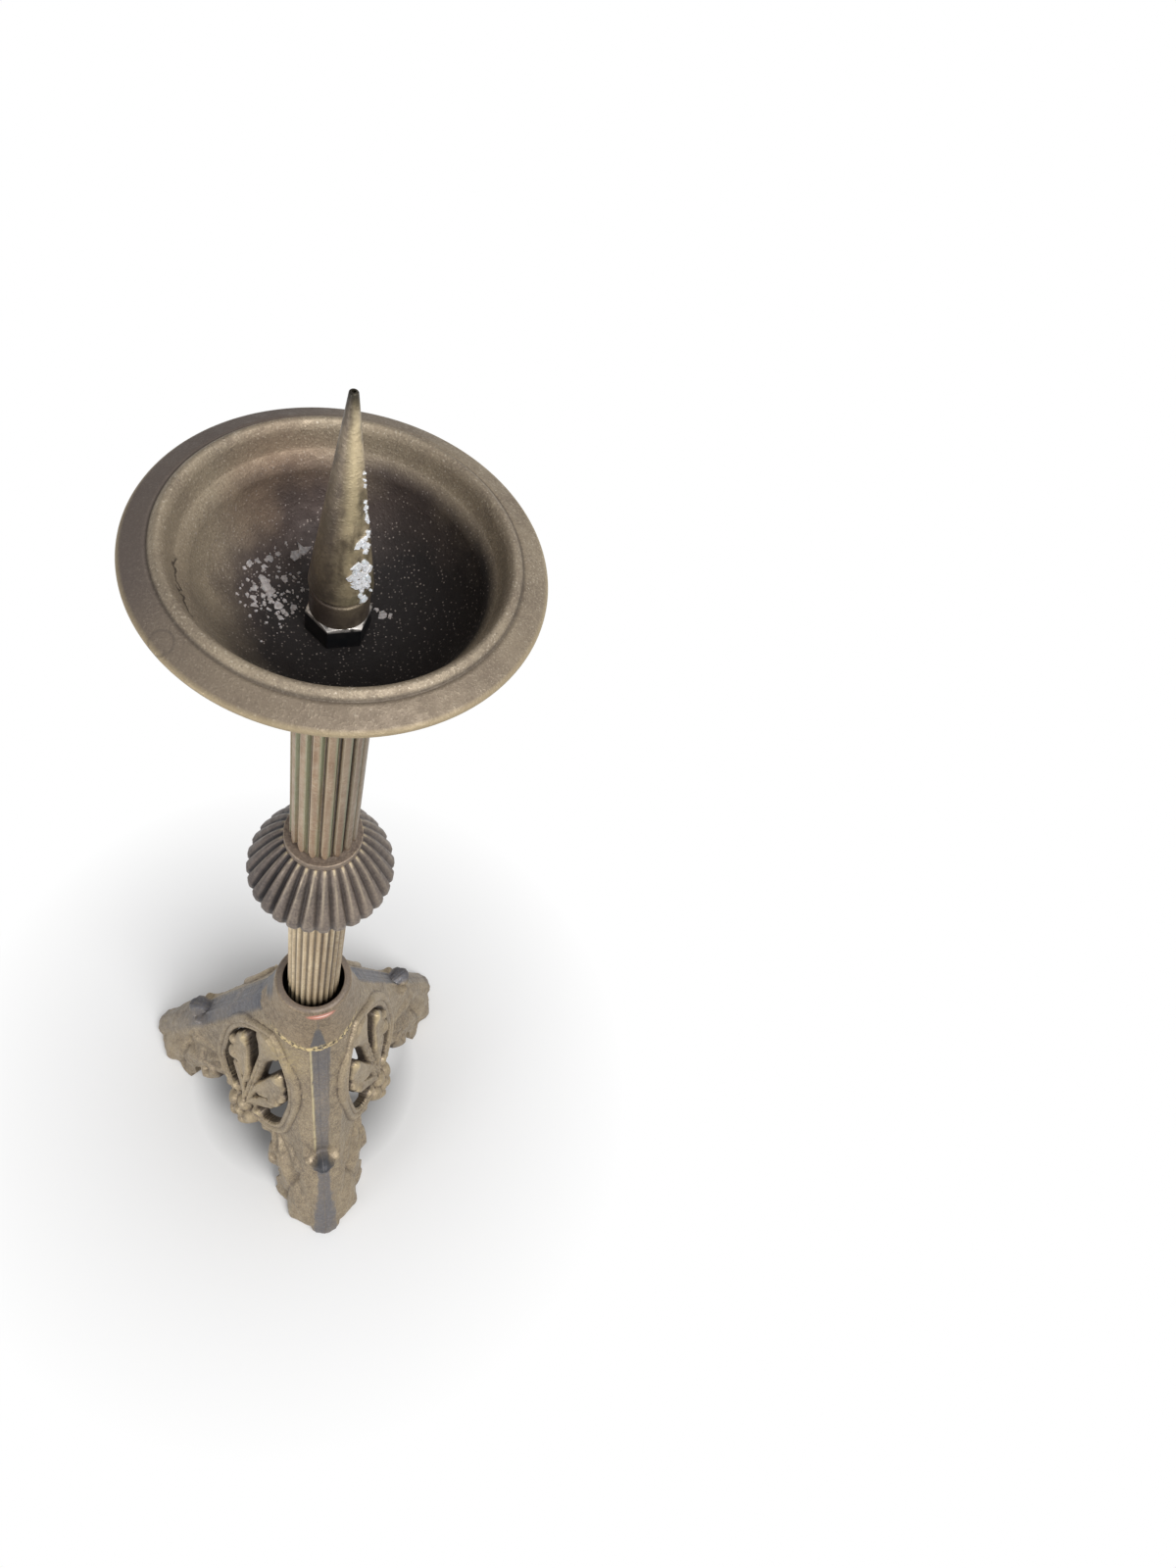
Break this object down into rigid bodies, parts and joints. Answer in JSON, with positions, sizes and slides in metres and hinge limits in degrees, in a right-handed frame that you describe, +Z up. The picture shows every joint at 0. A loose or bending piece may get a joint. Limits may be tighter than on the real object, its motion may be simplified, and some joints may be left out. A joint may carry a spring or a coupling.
{
  "type": "pricket candle stand",
  "caption": "Tall brass pricket candle stand: spike in a round drip pan, fluted stem with a gadrooned knop, and a pierced three-sided cast foot.",
  "frame": {"origin": "on the stem axis, on the floor", "axes": "+Z up along the stem; one foot points to -Y"},
  "size_m": [0.212, 0.185, 0.6749],
  "materials": {
    "cast_brass": "aged cast brass, worn and patinated",
    "tube_brass": "drawn brass, dull with dark valleys",
    "spun_brass": "spun brass, dull brown patina",
    "turned_brass": "turned brass, aged",
    "dark_steel": "dark oiled steel, bright edges"
  },
  "bodies": {
    "root": {"pricket_spike": "turned_brass", "lock_nut": "dark_steel", "drip_pan": "spun_brass", "pan_socket": "turned_brass", "upper_stem": "tube_brass", "knop_top_ring": "turned_brass", "knop_upper_shell": "cast_brass", "knop_lower_shell": "cast_brass", "knop_bottom_ring": "turned_brass", "lower_stem": "tube_brass", "base_cap": "cast_brass", "tie_rod": "dark_steel", "rod_washer": "dark_steel", "rod_nut": "dark_steel", "base_side_1": "cast_brass", "base_side_2": "cast_brass", "base_side_3": "cast_brass"}
  },
  "joints": []
}
